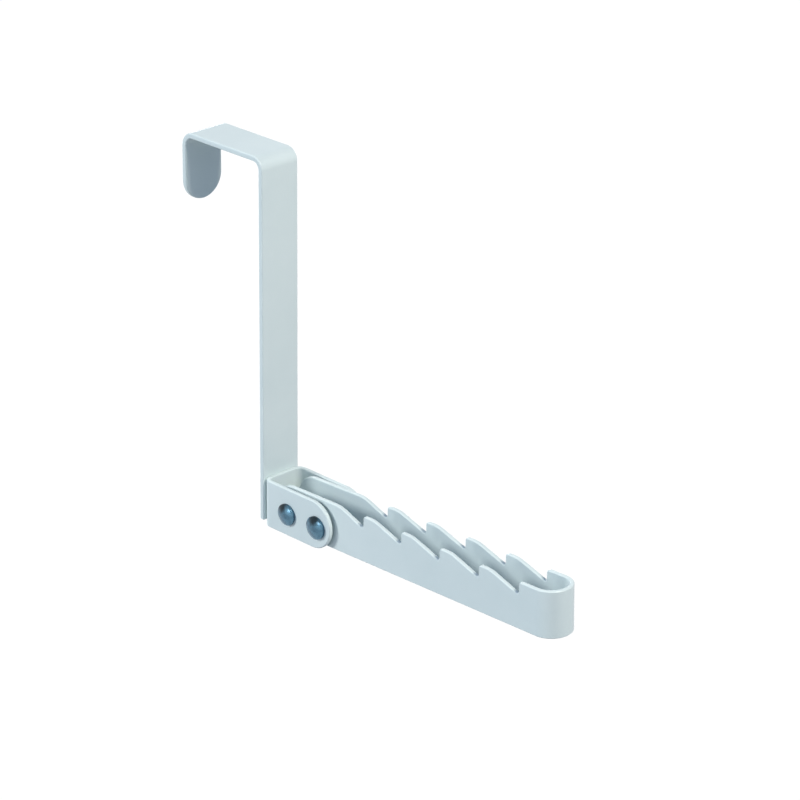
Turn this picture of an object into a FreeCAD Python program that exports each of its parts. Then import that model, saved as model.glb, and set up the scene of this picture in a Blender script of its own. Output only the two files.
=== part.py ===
import FreeCAD, Part
import math
import os

# Folding over-door hook: a strap bent over the top of a door, a bracket with two ears on its
# room side, and a notched arm that hinges between the ears on one rivet and comes down on another.
# Sizes are in millimetres. +Z is up and the arm points along -Y. The origin is the middle of the
# seat, which is the underside of the flat that rests on the top edge of the door.

# Strap, one strip bent to a hook with a long drop on the room side and a short tab behind
strap_width = 20.3
strap_thickness = 2.4
door_gap = 44.8
drop_length = 161.4
tab_length = 29.6
room_bend_radius = 3.2
rear_bend_radius = 4.0

# Bracket, one strip bent to a U whose web is welded to the strap's lower end
bracket_width = 21.6
bracket_thickness = 2.0
bracket_height = 21.65
bracket_overhang = 1.6
bracket_bend_radius = 2.4
ear_beyond_stop = 8.2

# Rivets, each one long enough to hold both ears
rivet_height = 10.15
rivet_spacing = 17.85
shank_diameter = 5.0
pivot_head_diameter = 9.6
stop_head_diameter = 10.25
head_height = 2.2
head_rim = 1.1
tail_diameter = 8.6

# Arm, one strip bent to a long U that lies on its side, with saw teeth along its upper edge. Its
# walls stand a little further apart towards the front.
arm_thickness = 2.0
arm_height = 20.85
arm_below_pivot = 9.25
arm_tilt = 1.75
wall_spread = 0.69
notch_count = 5
notch_pitch = 22.46
notch_depth = 5.65
first_notch = 43.25
lead_in_start = 29.3
front_land = 18.7
crest_length = 6.6
crest_blend_radius = 14.0
tooth_lean = 0.25
tooth_tip_radius = 1.4
notch_root_radius = 0.9
slot_sweep = 60

# Room between pieces, and the bevel along every edge of the coated strips that turns more sharply
# than this angle
rear_clearance = 1.9
side_clearance = 1.3
running_clearance = 0.08
edge_bevel = 0.4
sharp_angle = 30

# Where the pieces meet
half_width = strap_width / 2
bracket_half_width = bracket_width / 2
room_face = -(door_gap / 2 + strap_thickness)
lower_end = -drop_length
bracket_foot = lower_end - bracket_overhang
arm_round_end = arm_height / 2
arm_above_pivot = arm_height - arm_below_pivot
pivot_off_centre = arm_round_end - arm_below_pivot
pivot_reach = bracket_thickness + rear_clearance + arm_round_end + pivot_off_centre
stop_reach = pivot_reach + rivet_spacing
ear_reach = stop_reach + ear_beyond_stop
rivet_level = bracket_foot + rivet_height
arm_half_width = bracket_half_width - bracket_thickness - side_clearance
arm_front = first_notch + (notch_count - 1) * notch_pitch + front_land
wide = 2 * bracket_width


def across_door(y, z):
    return FreeCAD.Vector(0, y, z)


def from_strap(reach, z):
    # A point in the side view, at this reach in front of the strap's room face
    return FreeCAD.Vector(0, room_face - reach, z)


def from_pivot(forward, up):
    # A point in the side view, measured from the axis that the arm turns on
    return from_strap(pivot_reach + forward, rivet_level + up)


def round_pivot(radius, degrees):
    angle = math.radians(degrees)
    return from_pivot(radius * math.cos(angle), radius * math.sin(angle))


def rounded_face(corners):
    # A flat face whose outline turns each corner on a tangent arc of the corner's own radius
    arcs = []
    for index, (corner, radius) in enumerate(corners):
        back = (corners[index - 1][0] - corner).normalize()
        onward = (corners[(index + 1) % len(corners)][0] - corner).normalize()
        half_angle = back.getAngle(onward) / 2
        trim = radius / math.tan(half_angle)
        middle = (back + onward).normalize() * (radius / math.sin(half_angle) - radius)
        arcs.append((corner + back * trim, corner + middle, corner + onward * trim))
    edges = []
    for index, (enter, middle, leave) in enumerate(arcs):
        if enter.distanceToPoint(leave) > 0.001:
            edges.append(Part.Arc(enter, middle, leave).toShape())
        following = arcs[(index + 1) % len(arcs)][0]
        if leave.distanceToPoint(following) > 0.001:
            edges.append(Part.makeLine(leave, following))
    return Part.Face(Part.Wire(edges))


def across(face, half):
    # Carries a side-view face through the piece, the same distance each side of the middle
    moved = face.translated(FreeCAD.Vector(-half, 0, 0))
    return moved.extrude(FreeCAD.Vector(2 * half, 0, 0))


def sharp_edges(solid):
    found = []
    for edge in solid.Edges:
        middle = edge.valueAt((edge.FirstParameter + edge.LastParameter) / 2)
        normals = []
        for face in solid.ancestorsOfType(edge, Part.Face):
            normals.append(face.normalAt(*face.Surface.parameter(middle)))
        if len(normals) == 2 and normals[0].getAngle(normals[1]) > math.radians(sharp_angle):
            found.append(edge)
    return found


def soften(solid):
    # The coating runs round every edge of a strip, so none is left sharp
    return solid.makeChamfer(edge_bevel, sharp_edges(solid))


def bore(reach, radius):
    # A hole through everything at rivet level
    start = from_strap(reach, rivet_level) - FreeCAD.Vector(wide, 0, 0)
    return Part.makeCylinder(radius, 2 * wide, start, FreeCAD.Vector(1, 0, 0))


def door_strap():
    behind = door_gap / 2
    outline = rounded_face([
        (across_door(room_face, lower_end), 0),
        (across_door(room_face, strap_thickness), room_bend_radius + strap_thickness),
        (across_door(behind + strap_thickness, strap_thickness), rear_bend_radius + strap_thickness),
        (across_door(behind + strap_thickness, -tab_length), 0),
        (across_door(behind, -tab_length), 0),
        (across_door(behind, 0), rear_bend_radius),
        (across_door(-behind, 0), room_bend_radius),
        (across_door(-behind, lower_end), 0),
    ])
    strip = across(outline, half_width)
    # The tab ends in a full half round
    round_centre = FreeCAD.Vector(0, behind - wide, half_width - tab_length)
    tab_end = Part.makeCylinder(half_width, 2 * wide, round_centre, FreeCAD.Vector(0, 1, 0))
    corner = FreeCAD.Vector(-wide / 2, behind - strap_thickness / 2, -tab_length - half_width)
    waste = Part.makeBox(wide, 2 * strap_thickness, 2 * half_width, corner).cut(tab_end)
    return soften(strip.cut(waste))


def clevis_bracket():
    half = bracket_half_width
    inner = half - bracket_thickness
    outer_bend = bracket_bend_radius + bracket_thickness
    web = room_face - bracket_thickness
    tips = room_face - ear_reach
    plan = rounded_face([
        (FreeCAD.Vector(-half, tips, bracket_foot), 0),
        (FreeCAD.Vector(-half, room_face, bracket_foot), outer_bend),
        (FreeCAD.Vector(half, room_face, bracket_foot), outer_bend),
        (FreeCAD.Vector(half, tips, bracket_foot), 0),
        (FreeCAD.Vector(inner, tips, bracket_foot), 0),
        (FreeCAD.Vector(inner, web, bracket_foot), bracket_bend_radius),
        (FreeCAD.Vector(-inner, web, bracket_foot), bracket_bend_radius),
        (FreeCAD.Vector(-inner, tips, bracket_foot), 0),
    ])
    folded = plan.extrude(FreeCAD.Vector(0, 0, bracket_height))
    upper = bracket_foot + bracket_height
    side_view = rounded_face([
        (from_strap(-strap_thickness, bracket_foot), 0),
        (from_strap(ear_reach, bracket_foot), bracket_height / 2),
        (from_strap(ear_reach, upper), bracket_height / 2),
        (from_strap(-strap_thickness, upper), 0),
    ])
    bracket = soften(folded.common(across(side_view, wide)))
    for reach in (pivot_reach, stop_reach):
        bracket = bracket.cut(bore(reach, shank_diameter / 2))
    return bracket


def toothed_outline():
    # Side view of the arm before it is tilted, from its round rear end along the teeth to the front
    root_level = arm_above_pivot - notch_depth
    corners = [
        (from_pivot(-arm_round_end, -arm_below_pivot), arm_round_end),
        (from_pivot(-arm_round_end, arm_above_pivot), arm_round_end),
        (from_pivot(lead_in_start, arm_above_pivot), crest_blend_radius),
    ]
    for number in range(notch_count):
        face = first_notch + number * notch_pitch
        corners.append((from_pivot(face, root_level), notch_root_radius))
        corners.append((from_pivot(face + tooth_lean, arm_above_pivot), tooth_tip_radius))
        if number < notch_count - 1:
            corners.append((from_pivot(face + crest_length, arm_above_pivot), crest_blend_radius))
    corners.append((from_pivot(arm_front, arm_above_pivot), 0))
    corners.append((from_pivot(arm_front, -arm_below_pivot), 0))
    return rounded_face(corners)


def folded_strip():
    # Plan view of the arm: two walls that spread towards the front, joined there by a bend whose
    # two quarters meet in the middle
    low = rivet_level - arm_below_pivot
    spread = math.radians(wall_spread)
    quarter = math.tan((math.pi / 2 - spread) / 2)

    def corner(side, forward, inset):
        half = arm_half_width + forward * math.tan(spread) - inset / math.cos(spread)
        return FreeCAD.Vector(side * half, room_face - pivot_reach - forward, low)

    outer_bend = quarter * corner(1, arm_front, 0).x
    inner_front = arm_front - arm_thickness
    inner_bend = quarter * corner(1, inner_front, arm_thickness).x
    plan = rounded_face([
        (corner(-1, -arm_round_end, 0), 0),
        (corner(-1, arm_front, 0), outer_bend),
        (corner(1, arm_front, 0), outer_bend),
        (corner(1, -arm_round_end, 0), 0),
        (corner(1, -arm_round_end, arm_thickness), 0),
        (corner(1, inner_front, arm_thickness), inner_bend),
        (corner(-1, inner_front, arm_thickness), inner_bend),
        (corner(-1, -arm_round_end, arm_thickness), 0),
    ])
    return plan.extrude(FreeCAD.Vector(0, 0, arm_height))


def stop_slot():
    # The path of the stop rivet through the arm: closed where the arm comes down on the rivet,
    # and open through the lower edge so that the arm can swing up and away
    half = shank_diameter / 2 + running_clearance
    inside = rivet_spacing - half
    outside = rivet_spacing + half
    path = Part.Wire([
        Part.Arc(round_pivot(outside, 0), round_pivot(outside, -slot_sweep / 2),
                 round_pivot(outside, -slot_sweep)).toShape(),
        Part.makeLine(round_pivot(outside, -slot_sweep), round_pivot(inside, -slot_sweep)),
        Part.Arc(round_pivot(inside, -slot_sweep), round_pivot(inside, -slot_sweep / 2),
                 round_pivot(inside, 0)).toShape(),
        Part.makeLine(round_pivot(inside, 0), round_pivot(outside, 0)),
    ])
    return across(Part.Face(path), wide).fuse(bore(stop_reach, half))


def notched_arm():
    arm = soften(folded_strip().common(across(toothed_outline(), wide)))
    arm.rotate(from_pivot(0, 0), FreeCAD.Vector(-1, 0, 0), arm_tilt)
    arm = arm.cut(bore(pivot_reach, shank_diameter / 2 + running_clearance))
    return arm.cut(stop_slot())


def rivet(reach, head_diameter):
    # A domed head on the near side, the shank through both ears, and a smaller closed head beyond
    head = head_diameter / 2
    tail = tail_diameter / 2
    shank = shank_diameter / 2
    grip = bracket_half_width

    def at(x, radius):
        return from_strap(reach, rivet_level) + FreeCAD.Vector(x, 0, radius)

    def dome(side, radius):
        # The arc from the rim to the crown, and the point that it passes half way
        rise = head_height - head_rim
        sphere = (radius * radius + rise * rise) / (2 * rise)
        half_way = math.asin(radius / sphere) / 2
        drop = sphere * (1 - math.cos(half_way))
        middle = at(side * (grip + head_height - drop), sphere * math.sin(half_way))
        return Part.Arc(at(side * (grip + head_rim), radius), middle, at(side * (grip + head_height), 0))

    outline = Part.Wire([
        dome(-1, head).toShape(),
        Part.makeLine(at(-grip - head_rim, head), at(-grip, head)),
        Part.makeLine(at(-grip, head), at(-grip, shank)),
        Part.makeLine(at(-grip, shank), at(grip, shank)),
        Part.makeLine(at(grip, shank), at(grip, tail)),
        Part.makeLine(at(grip, tail), at(grip + head_rim, tail)),
        dome(1, tail).toShape(),
        Part.makeLine(at(grip + head_height, 0), at(-grip - head_height, 0)),
    ])
    return Part.Face(outline).revolve(at(0, 0), FreeCAD.Vector(1, 0, 0), 360)


pieces = {
    "door_strap": door_strap(),
    "clevis_bracket": clevis_bracket(),
    "notched_arm": notched_arm(),
    "pivot_rivet": rivet(pivot_reach, pivot_head_diameter),
    "stop_rivet": rivet(stop_reach, stop_head_diameter),
}

os.makedirs("parts", exist_ok=True)
for name, shape in pieces.items():
    solid = shape.Solids[0]
    solid.exportStep("parts/" + name + ".step")
    print(name, "solids", len(shape.Solids), "valid", solid.isValid(), "volume", round(solid.Volume, 1))
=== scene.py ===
import bpy
import math
from mathutils import Euler, Matrix, Vector


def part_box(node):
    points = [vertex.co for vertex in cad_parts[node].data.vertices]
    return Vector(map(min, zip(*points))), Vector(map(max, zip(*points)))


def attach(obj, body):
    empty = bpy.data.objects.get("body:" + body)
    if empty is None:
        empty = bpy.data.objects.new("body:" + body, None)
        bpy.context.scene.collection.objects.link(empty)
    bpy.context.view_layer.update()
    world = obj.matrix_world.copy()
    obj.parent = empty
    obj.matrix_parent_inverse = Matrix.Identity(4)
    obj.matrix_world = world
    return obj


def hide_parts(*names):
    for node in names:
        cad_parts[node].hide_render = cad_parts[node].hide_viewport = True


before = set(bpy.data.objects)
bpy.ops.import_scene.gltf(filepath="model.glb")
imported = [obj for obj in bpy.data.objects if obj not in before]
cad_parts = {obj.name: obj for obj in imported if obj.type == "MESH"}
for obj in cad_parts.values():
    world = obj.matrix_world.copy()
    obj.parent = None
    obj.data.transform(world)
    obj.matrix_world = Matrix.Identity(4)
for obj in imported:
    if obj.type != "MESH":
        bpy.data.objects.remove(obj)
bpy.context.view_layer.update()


# Small helpers for picking things and building node trees

def deselectAll():
    if bpy.context.mode != "OBJECT":
        bpy.ops.object.mode_set(mode="OBJECT")
    bpy.ops.object.select_all(action="DESELECT")


def makeActive(piece):
    deselectAll()
    piece.select_set(True)
    bpy.context.view_layer.objects.active = piece


def addNode(tree, kind, place=(0, 0), **values):
    node = tree.nodes.new(kind)
    node.location = place
    for name, value in values.items():
        setattr(node, name, value)
    return node


def join(tree, giver, taker):
    tree.links.new(giver, taker)


def startMaterial(name):
    material = bpy.data.materials.new(name)
    material.use_nodes = True
    tree = material.node_tree
    tree.nodes.clear()
    output = addNode(tree, "ShaderNodeOutputMaterial", (900, 0))
    shader = addNode(tree, "ShaderNodeBsdfPrincipled", (600, 0))
    join(tree, shader.outputs["BSDF"], output.inputs["Surface"])
    return material, tree, shader


# Powder coat: a cool off-white with a satin skin, a faint cloudiness
# and the fine orange peel of baked powder

powderCoat = {
    "paleTone": (0.750, 0.828, 0.808, 1),
    "deepTone": (0.705, 0.790, 0.774, 1),
    "cloudScale": 38,
    "cloudDetail": 3,
    "cloudFrom": 0.3,
    "cloudTo": 0.7,
    "peelScale": 820,
    "peelDetail": 2,
    "peelDepth": 0.00002,
    "grainScale": 3600,
    "grainDetail": 1,
    "grainDepth": 0.000004,
    "roughness": 0.42,
    "roughnessSpread": 0.06,
    "coatWeight": 0.12,
    "coatRoughness": 0.22,
}


def powderCoatMaterial(name, offset):
    # offset moves the pattern, so that no two pieces share the same clouds
    material, tree, shader = startMaterial(name)
    place = addNode(tree, "ShaderNodeTexCoord", (-900, 0))
    shift = addNode(tree, "ShaderNodeMapping", (-720, 0))
    shift.inputs["Location"].default_value = offset
    join(tree, place.outputs["Object"], shift.inputs["Vector"])

    clouds = addNode(tree, "ShaderNodeTexNoise", (-480, 260))
    clouds.inputs["Scale"].default_value = powderCoat["cloudScale"]
    clouds.inputs["Detail"].default_value = powderCoat["cloudDetail"]
    tones = addNode(tree, "ShaderNodeValToRGB", (-260, 260))
    tones.color_ramp.elements[0].position = powderCoat["cloudFrom"]
    tones.color_ramp.elements[0].color = powderCoat["deepTone"]
    tones.color_ramp.elements[1].position = powderCoat["cloudTo"]
    tones.color_ramp.elements[1].color = powderCoat["paleTone"]
    join(tree, shift.outputs["Vector"], clouds.inputs["Vector"])
    join(tree, clouds.outputs["Fac"], tones.inputs["Fac"])
    join(tree, tones.outputs["Color"], shader.inputs["Base Color"])

    sheen = addNode(tree, "ShaderNodeMapRange", (-260, 20))
    spread = powderCoat["roughnessSpread"]
    sheen.inputs["To Min"].default_value = powderCoat["roughness"] - spread
    sheen.inputs["To Max"].default_value = powderCoat["roughness"] + spread
    join(tree, clouds.outputs["Fac"], sheen.inputs["Value"])
    join(tree, sheen.outputs["Result"], shader.inputs["Roughness"])

    peel = addNode(tree, "ShaderNodeTexNoise", (-480, -220))
    peel.inputs["Scale"].default_value = powderCoat["peelScale"]
    peel.inputs["Detail"].default_value = powderCoat["peelDetail"]
    join(tree, shift.outputs["Vector"], peel.inputs["Vector"])
    peelBump = addNode(tree, "ShaderNodeBump", (-200, -220))
    peelBump.inputs["Distance"].default_value = powderCoat["peelDepth"]
    join(tree, peel.outputs["Fac"], peelBump.inputs["Height"])

    grain = addNode(tree, "ShaderNodeTexNoise", (-480, -480))
    grain.inputs["Scale"].default_value = powderCoat["grainScale"]
    grain.inputs["Detail"].default_value = powderCoat["grainDetail"]
    join(tree, shift.outputs["Vector"], grain.inputs["Vector"])
    grainBump = addNode(tree, "ShaderNodeBump", (40, -320))
    grainBump.inputs["Distance"].default_value = powderCoat["grainDepth"]
    join(tree, grain.outputs["Fac"], grainBump.inputs["Height"])
    join(tree, peelBump.outputs["Normal"], grainBump.inputs["Normal"])
    join(tree, grainBump.outputs["Normal"], shader.inputs["Normal"])

    shader.inputs["Coat Weight"].default_value = powderCoat["coatWeight"]
    shader.inputs["Coat Roughness"].default_value = powderCoat["coatRoughness"]
    return material


# Rivet steel: dark and a little blue, with faint rings from the tool that closed the head,
# and a painted dark reflection near the top of each head: near-black colour standing in for a dark
# surround mirrored in the steel

rivetSteel = {
    "brightTone": (0.112, 0.235, 0.330, 1),
    "darkTone": (0.050, 0.118, 0.178, 1),
    # The next six values draw the painted dark reflection on each head: near-black colour where a
    # dark surround would be mirrored
    "paintedReflectionTone": (0.010, 0.024, 0.034, 1),
    "paintedReflectionInner": 0.0016,
    "paintedReflectionOuter": 0.0042,
    "paintedReflectionRaggedness": 0.0022,
    "paintedReflectionRagScale": 900,
    "paintedReflectionRagDetail": 3,
    "mottleScale": 420,
    "mottleDetail": 4,
    "mottleFrom": 0.32,
    "mottleTo": 0.68,
    "ringScale": 5200,
    "ringDetail": 2,
    "ringDepth": 0.000003,
    "roughness": 0.27,
    "roughnessSpread": 0.07,
    "coatWeight": 0.35,
    "coatRoughness": 0.12,
}


def rivetSteelMaterial(name, centre, headX, paintedReflectionSpot):
    # centre is the rivet's middle, and the last argument is how far along Y and Z the painted dark
    # reflection lies from it
    material, tree, shader = startMaterial(name)
    place = addNode(tree, "ShaderNodeTexCoord", (-1150, 0))
    toAxis = addNode(tree, "ShaderNodeMapping", (-960, 0))
    toAxis.inputs["Location"].default_value = (0, -centre.y, -centre.z)
    join(tree, place.outputs["Object"], toAxis.inputs["Vector"])

    mottle = addNode(tree, "ShaderNodeTexNoise", (-700, 260))
    mottle.inputs["Scale"].default_value = rivetSteel["mottleScale"]
    mottle.inputs["Detail"].default_value = rivetSteel["mottleDetail"]
    tones = addNode(tree, "ShaderNodeValToRGB", (-460, 260))
    tones.color_ramp.elements[0].position = rivetSteel["mottleFrom"]
    tones.color_ramp.elements[0].color = rivetSteel["darkTone"]
    tones.color_ramp.elements[1].position = rivetSteel["mottleTo"]
    tones.color_ramp.elements[1].color = rivetSteel["brightTone"]
    join(tree, toAxis.outputs["Vector"], mottle.inputs["Vector"])
    join(tree, mottle.outputs["Fac"], tones.inputs["Fac"])

    # Painted dark reflection: near-black colour standing in for a mirrored dark surround, dark
    # inside, bare metal outside, and a ragged edge between them
    fromPaintedReflection = addNode(tree, "ShaderNodeVectorMath", (-760, 620), operation="SUBTRACT")
    fromPaintedReflection.inputs[1].default_value = (headX, paintedReflectionSpot[0], paintedReflectionSpot[1])
    join(tree, toAxis.outputs["Vector"], fromPaintedReflection.inputs[0])
    farness = addNode(tree, "ShaderNodeVectorMath", (-580, 620), operation="LENGTH")
    join(tree, fromPaintedReflection.outputs["Vector"], farness.inputs[0])
    rag = addNode(tree, "ShaderNodeTexNoise", (-760, 460))
    rag.inputs["Scale"].default_value = rivetSteel["paintedReflectionRagScale"]
    rag.inputs["Detail"].default_value = rivetSteel["paintedReflectionRagDetail"]
    join(tree, toAxis.outputs["Vector"], rag.inputs["Vector"])
    ragged = addNode(tree, "ShaderNodeMath", (-400, 560), operation="MULTIPLY_ADD")
    ragged.inputs[1].default_value = rivetSteel["paintedReflectionRaggedness"]
    join(tree, rag.outputs["Fac"], ragged.inputs[0])
    join(tree, farness.outputs["Value"], ragged.inputs[2])
    paintedReflectionMask = addNode(tree, "ShaderNodeMapRange", (-220, 560), interpolation_type="SMOOTHSTEP")
    meanRag = rivetSteel["paintedReflectionRaggedness"] / 2
    paintedReflectionMask.inputs["From Min"].default_value = rivetSteel["paintedReflectionOuter"] + meanRag
    paintedReflectionMask.inputs["From Max"].default_value = rivetSteel["paintedReflectionInner"] + meanRag
    join(tree, ragged.outputs[0], paintedReflectionMask.inputs["Value"])
    colour = addNode(tree, "ShaderNodeMixRGB", (100, 320))
    colour.inputs["Color2"].default_value = rivetSteel["paintedReflectionTone"]
    join(tree, paintedReflectionMask.outputs["Result"], colour.inputs["Fac"])
    join(tree, tones.outputs["Color"], colour.inputs["Color1"])
    join(tree, colour.outputs["Color"], shader.inputs["Base Color"])

    wear = addNode(tree, "ShaderNodeMapRange", (-460, 20))
    spread = rivetSteel["roughnessSpread"]
    wear.inputs["To Min"].default_value = rivetSteel["roughness"] - spread
    wear.inputs["To Max"].default_value = rivetSteel["roughness"] + spread
    join(tree, mottle.outputs["Fac"], wear.inputs["Value"])
    join(tree, wear.outputs["Result"], shader.inputs["Roughness"])

    # The rings follow the distance from the rivet's axis, which runs along X
    flat = addNode(tree, "ShaderNodeVectorMath", (-760, -260), operation="MULTIPLY")
    flat.inputs[1].default_value = (0, 1, 1)
    join(tree, toAxis.outputs["Vector"], flat.inputs[0])
    reach = addNode(tree, "ShaderNodeVectorMath", (-580, -260), operation="LENGTH")
    join(tree, flat.outputs["Vector"], reach.inputs[0])
    rings = addNode(tree, "ShaderNodeTexNoise", (-400, -260), noise_dimensions="1D")
    rings.inputs["Scale"].default_value = rivetSteel["ringScale"]
    rings.inputs["Detail"].default_value = rivetSteel["ringDetail"]
    join(tree, reach.outputs["Value"], rings.inputs["W"])
    ringBump = addNode(tree, "ShaderNodeBump", (-160, -260))
    ringBump.inputs["Distance"].default_value = rivetSteel["ringDepth"]
    join(tree, rings.outputs["Fac"], ringBump.inputs["Height"])
    join(tree, ringBump.outputs["Normal"], shader.inputs["Normal"])

    shader.inputs["Metallic"].default_value = 1
    shader.inputs["Coat Weight"].default_value = rivetSteel["coatWeight"]
    shader.inputs["Coat Roughness"].default_value = rivetSteel["coatRoughness"]
    return material


# Pieces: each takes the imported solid's own form, joined up and with its bevels rounded

softEdge = {
    "joinDistance": 0.000002,
    "flatAngle": math.radians(0.6),
    "sharpAngle": math.radians(20),
    "roundWidth": 0.00015,
    "roundSegments": 2,
    "shadingWeight": 80,
}


def mergedCopy(node, name):
    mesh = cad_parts[node].data.copy()
    mesh.name = name
    piece = bpy.data.objects.new(name, mesh)
    bpy.context.scene.collection.objects.link(piece)
    makeActive(piece)
    bpy.ops.object.mode_set(mode="EDIT")
    bpy.ops.mesh.select_all(action="SELECT")
    bpy.ops.mesh.remove_doubles(threshold=softEdge["joinDistance"])
    bpy.ops.mesh.dissolve_limited(angle_limit=softEdge["flatAngle"])
    bpy.ops.mesh.normals_make_consistent(inside=False)
    bpy.ops.object.mode_set(mode="OBJECT")
    return piece


def roundBevels(piece):
    makeActive(piece)
    rounding = piece.modifiers.new("roundBevels", "BEVEL")
    rounding.width = softEdge["roundWidth"]
    rounding.segments = softEdge["roundSegments"]
    rounding.limit_method = "ANGLE"
    rounding.angle_limit = softEdge["sharpAngle"]
    bpy.ops.object.modifier_apply(modifier=rounding.name)
    bpy.ops.object.shade_smooth()
    evening = piece.modifiers.new("evenShading", "WEIGHTED_NORMAL")
    evening.mode = "FACE_AREA_WITH_ANGLE"
    evening.weight = softEdge["shadingWeight"]
    evening.keep_sharp = True
    bpy.ops.object.modifier_apply(modifier=evening.name)


def dress(piece, node, body, material):
    piece.data.materials.clear()
    piece.data.materials.append(material)
    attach(piece, body)
    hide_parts(node)


strapPiece = {"node": "door_strap", "name": "coatedStrap", "body": "root",
              "slot": "coated_strap", "offset": (0, 0, 0)}
bracketPiece = {"node": "clevis_bracket", "name": "coatedBracket", "body": "root",
                "slot": "coated_bracket", "offset": (0.31, 0.12, 0.4)}
armPiece = {"node": "notched_arm", "name": "coatedArm", "body": "arm",
            "slot": "coated_arm", "offset": (0.7, 0.25, 0.15)}

for values in (strapPiece, bracketPiece, armPiece):
    piece = mergedCopy(values["node"], values["name"])
    roundBevels(piece)
    coat = powderCoatMaterial(values["name"], values["offset"])
    dress(piece, values["node"], values["body"], coat)
    print(values["name"], "done, faces:", len(piece.data.polygons))

# The last value of each rivet places its painted dark reflection, along Y and Z from the rivet's
# middle
pivotRivet = {"node": "pivot_rivet", "name": "pivotRivetSteel", "body": "root",
              "slot": "rivet_steel", "paintedReflectionSpot": (0.0022, 0.0040)}
stopRivet = {"node": "stop_rivet", "name": "stopRivetSteel", "body": "root",
             "slot": "rivet_steel", "paintedReflectionSpot": (0.0002, 0.0046)}

for values in (pivotRivet, stopRivet):
    low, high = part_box(values["node"])
    piece = mergedCopy(values["node"], values["name"])
    roundBevels(piece)
    steel = rivetSteelMaterial(values["name"], (low + high) / 2, low.x, values["paintedReflectionSpot"])
    dress(piece, values["node"], values["body"], steel)
    print(values["name"], "done, faces:", len(piece.data.polygons))


# Stage: a plain pale floor well below the hook, and soft light

stage = {
    "floorLevel": -0.42,
    "floorSize": 14,
    "floorTone": (0.30, 0.32, 0.33, 1),
    "whiteShare": 0.90,
    "whiteGlow": 1.12,
    "worldTone": (0.22, 0.48, 1.00, 1),
    "worldStrength": 0.25,
}


def seenDirectly(tree, place):
    # 1 where the eye, a gloss or a clear piece looks straight at the backdrop,
    # and 0 where the backdrop only lights
    path = addNode(tree, "ShaderNodeLightPath", place)
    cameraOrGloss = addNode(tree, "ShaderNodeMath", (place[0] + 200, place[1]), operation="MAXIMUM")
    anyOfThem = addNode(tree, "ShaderNodeMath", (place[0] + 400, place[1]), operation="MAXIMUM")
    join(tree, path.outputs["Is Camera Ray"], cameraOrGloss.inputs[0])
    join(tree, path.outputs["Is Glossy Ray"], cameraOrGloss.inputs[1])
    join(tree, cameraOrGloss.outputs[0], anyOfThem.inputs[0])
    join(tree, path.outputs["Is Transmission Ray"], anyOfThem.inputs[1])
    return anyOfThem.outputs[0]


def makeFloor():
    deselectAll()
    bpy.ops.mesh.primitive_plane_add(size=stage["floorSize"], location=(0, 0, stage["floorLevel"]))
    floor = bpy.context.active_object
    floor.name = "studioFloor"
    material = bpy.data.materials.new("studioFloor")
    material.use_nodes = True
    tree = material.node_tree
    tree.nodes.clear()
    output = addNode(tree, "ShaderNodeOutputMaterial", (600, 0))
    matte = addNode(tree, "ShaderNodeBsdfDiffuse", (-200, 100))
    matte.inputs["Color"].default_value = stage["floorTone"]
    white = addNode(tree, "ShaderNodeEmission", (-200, -100))
    white.inputs["Color"].default_value = (1, 1, 1, 1)
    white.inputs["Strength"].default_value = stage["whiteGlow"]
    backdrop = addNode(tree, "ShaderNodeMixShader", (100, -60))
    backdrop.inputs["Fac"].default_value = stage["whiteShare"]
    join(tree, matte.outputs["BSDF"], backdrop.inputs[1])
    join(tree, white.outputs["Emission"], backdrop.inputs[2])
    choice = addNode(tree, "ShaderNodeMixShader", (360, 0))
    join(tree, seenDirectly(tree, (-700, 300)), choice.inputs["Fac"])
    join(tree, matte.outputs["BSDF"], choice.inputs[1])
    join(tree, backdrop.outputs["Shader"], choice.inputs[2])
    join(tree, choice.outputs["Shader"], output.inputs["Surface"])
    floor.data.materials.append(material)


def makeWorld():
    world = bpy.data.worlds.new("studioWorld")
    bpy.context.scene.world = world
    world.use_nodes = True
    tree = world.node_tree
    tree.nodes.clear()
    output = addNode(tree, "ShaderNodeOutputWorld", (600, 0))
    light = addNode(tree, "ShaderNodeBackground", (0, 100))
    light.inputs["Color"].default_value = stage["worldTone"]
    light.inputs["Strength"].default_value = stage["worldStrength"]
    white = addNode(tree, "ShaderNodeBackground", (0, -100))
    white.inputs["Color"].default_value = (1, 1, 1, 1)
    white.inputs["Strength"].default_value = 1
    choice = addNode(tree, "ShaderNodeMixShader", (300, 0))
    join(tree, seenDirectly(tree, (-600, 300)), choice.inputs["Fac"])
    join(tree, light.outputs["Background"], choice.inputs[1])
    join(tree, white.outputs["Background"], choice.inputs[2])
    join(tree, choice.outputs["Shader"], output.inputs["Surface"])


def makeSoftbox(name, values):
    deselectAll()
    aim = Vector(values["aim"])
    direction = Vector(values["direction"]).normalized()
    bpy.ops.object.light_add(type="AREA", location=aim + direction * values["distance"])
    lamp = bpy.context.active_object
    lamp.name = name
    lamp.rotation_euler = direction.to_track_quat("Z", "Y").to_euler()
    lamp.data.shape = "RECTANGLE"
    lamp.data.size = values["width"]
    lamp.data.size_y = values["height"]
    lamp.data.energy = values["power"]
    lamp.data.color = values["tone"]
    lamp.visible_glossy = values["glare"]


hookMiddle = (0, -0.09, -0.10)
bracketSide = (0, -0.05, -0.15)

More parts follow.
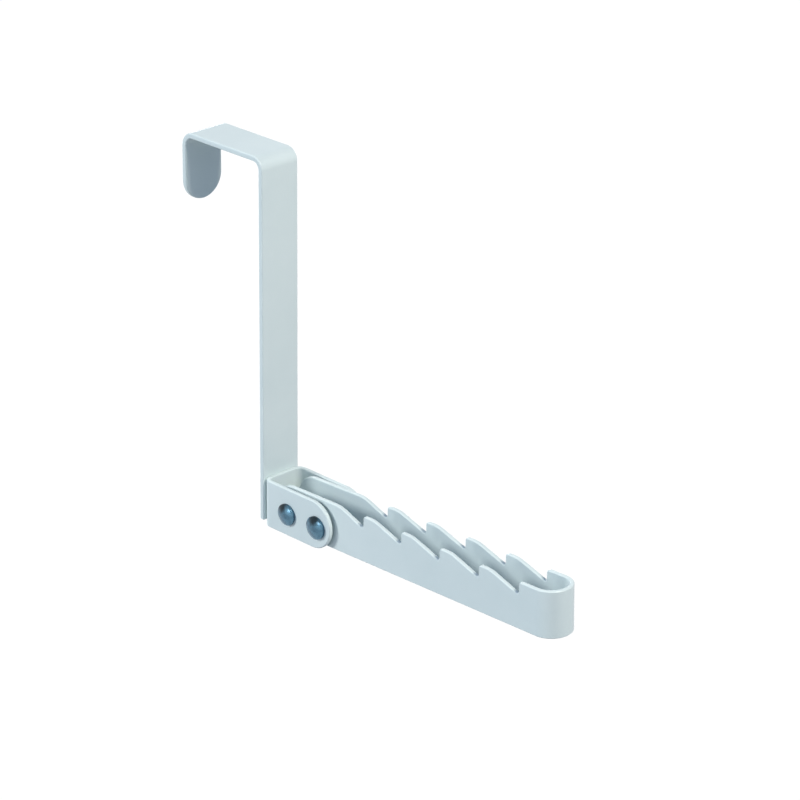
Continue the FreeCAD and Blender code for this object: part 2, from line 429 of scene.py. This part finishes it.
# The side softbox gives no glare: seen from across it, the flat top would burn out
softboxes = {
    "sideSoftbox": {
        "aim": hookMiddle, "direction": (-0.72, 0.60, 0.36), "distance": 4,
        "width": 1.10, "height": 1.10, "power": 103, "tone": (0.96, 1, 1.01), "glare": False},
    "overheadSoftbox": {
        "aim": hookMiddle, "direction": (0, -0.64, 0.77), "distance": 1.3,
        "width": 0.26, "height": 0.40, "power": 12.3, "tone": (1, 0.97, 0.87), "glare": True},
    "frontSoftbox": {
        "aim": hookMiddle, "direction": (-0.15, -0.97, 0.17), "distance": 1.3,
        "width": 1.20, "height": 1.00, "power": 1.9, "tone": (1, 1, 1.05), "glare": True},
    "lowFrontSoftbox": {
        "aim": hookMiddle, "direction": (-0.10, -0.90, 0.42), "distance": 1.3,
        "width": 0.26, "height": 0.40, "power": 1.0, "tone": (1, 1, 1.02), "glare": True},
    "glintSoftbox": {
        "aim": bracketSide, "direction": (-0.965, 0.265, 0.036), "distance": 1.3,
        "width": 0.24, "height": 0.24, "power": 1.7, "tone": (0.96, 1, 1.02), "glare": True},
    "rearSoftbox": {
        "aim": hookMiddle, "direction": (0.72, 0.69, -0.05), "distance": 1.3,
        "width": 0.50, "height": 0.45, "power": 3.2, "tone": (0.98, 1, 1), "glare": True},
}

makeFloor()
makeWorld()
for name, values in softboxes.items():
    makeSoftbox(name, values)
print("stage done")


# Camera at the photograph's angle

viewpoint = {
    "location": (-0.88531, -0.98042, 0.45984),
    "downward": 23.547,
    "heading": -45.038,
    "roll": 0.693,
    "lens": 150.656,
    "sensor": 36,
}

deselectAll()
bpy.ops.object.camera_add(location=viewpoint["location"])
camera = bpy.context.active_object
turned = Euler((math.radians(90 - viewpoint["downward"]), 0, math.radians(viewpoint["heading"])))
tilted = turned.to_matrix() @ Matrix.Rotation(math.radians(viewpoint["roll"]), 3, "Z")
camera.rotation_euler = tilted.to_euler()
camera.data.lens = viewpoint["lens"]
camera.data.sensor_width = viewpoint["sensor"]
bpy.context.scene.camera = camera
bpy.context.scene.view_settings.view_transform = "Standard"
print("camera done")
